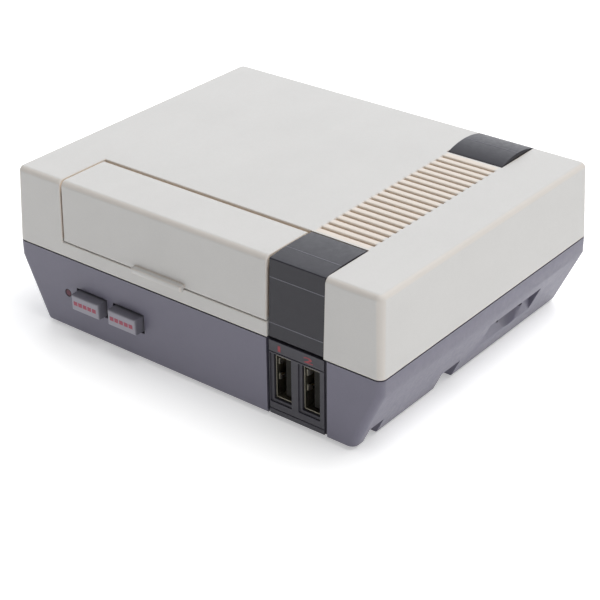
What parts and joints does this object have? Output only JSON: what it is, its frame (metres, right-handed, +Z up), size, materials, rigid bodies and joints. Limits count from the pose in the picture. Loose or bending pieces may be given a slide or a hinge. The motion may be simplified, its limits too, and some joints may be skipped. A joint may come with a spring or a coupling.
{
  "type": "games console",
  "caption": "Small retro-style games console in light and dark grey plastic, with a flip-up cartridge door, push buttons and USB sockets.",
  "frame": {"origin": "bottom centre of the whole console, on the plane its rubber feet stand on", "axes": "+X to the right seen from the front, +Y to the back, +Z up"},
  "size_m": [0.13, 0.1046, 0.0489],
  "materials": {
    "shell_light": "fine moulded texture",
    "shell_grey": "fine moulded texture",
    "trim_dark": "fine moulded texture",
    "bezel_dark": "fine moulded texture",
    "button_grey": "fine moulded texture",
    "led_red": "clear tinted",
    "steel": "plated",
    "contact_gold": "plated",
    "socket_black": "smooth",
    "board_green": "solder mask",
    "chip_black": "moulded",
    "sink_metal": "extruded",
    "ceramic": "fired",
    "plug_white": "smooth",
    "lead_black": "matt",
    "card_black": "smooth",
    "screw_steel": "zinc plated",
    "foot_rubber": "matt"
  },
  "bodies": {
    "console": {"upper_shell": "shell_light", "lower_shell": "shell_grey", "front_trim": "trim_dark", "rear_trim": "trim_dark", "front_port_bezel": "bezel_dark", "front_usb_shells": "steel", "front_usb_tongues": "socket_black", "front_usb_contacts": "contact_gold", "front_usb_board": "board_green", "power_switch": "socket_black", "reset_switch": "socket_black", "power_led": "led_red", "switch_board": "board_green", "main_board": "board_green", "processor": "steel", "heat_sink": "sink_metal", "memory_chip": "chip_black", "usb_hub_chip": "chip_black", "board_passives": "ceramic", "gpio_header": "chip_black", "gpio_pins": "contact_gold", "ribbon_connectors": "socket_black", "hdmi_shell": "steel", "hdmi_tongue": "socket_black", "audio_jack": "socket_black", "sd_socket": "steel", "board_usb_stacks": "steel", "board_lan_jack": "steel", "adapter_plugs": "lead_black", "power_board": "board_green", "power_inlet": "steel", "port_bay": "shell_grey", "bay_board": "board_green", "bay_usb_shells": "steel", "bay_usb_tongues": "socket_black", "bay_usb_contacts": "contact_gold", "bay_lan_jack": "socket_black", "bay_lan_contacts": "contact_gold", "adapter_leads": "lead_black", "lead_plugs": "plug_white", "front_usb_lead": "lead_black", "switch_lead": "lead_black", "power_lead": "lead_black", "case_screws": "screw_steel", "board_screws": "screw_steel", "bay_screws": "screw_steel", "rubber_feet": "foot_rubber"},
    "door": {"cartridge_door": "shell_light"},
    "power_button": {"power_button": "button_grey", "power_plunger": "plug_white"},
    "reset_button": {"reset_button": "button_grey", "reset_plunger": "plug_white"},
    "memory_card": {"memory_card": "card_black"}
  },
  "joints": [
    {"name": "door_hinge", "type": "hinge", "parent": "console", "child": "door", "pos_m": [-0.00915, -0.03545, 0.0444], "axis": [-1, 0, 0], "range_deg": [0, 90]},
    {"name": "power_press", "type": "slide", "parent": "console", "child": "power_button", "axis": [0, 1, 0], "range_m": [0, 0.0015]},
    {"name": "reset_press", "type": "slide", "parent": "console", "child": "reset_button", "axis": [0, 1, 0], "range_m": [0, 0.001], "stiffness_N_per_m": 300, "springref_m": -0.001},
    {"name": "card_slide", "type": "slide", "parent": "console", "child": "memory_card", "axis": [1, 0, 0], "range_m": [0, 0.017]}
  ]
}
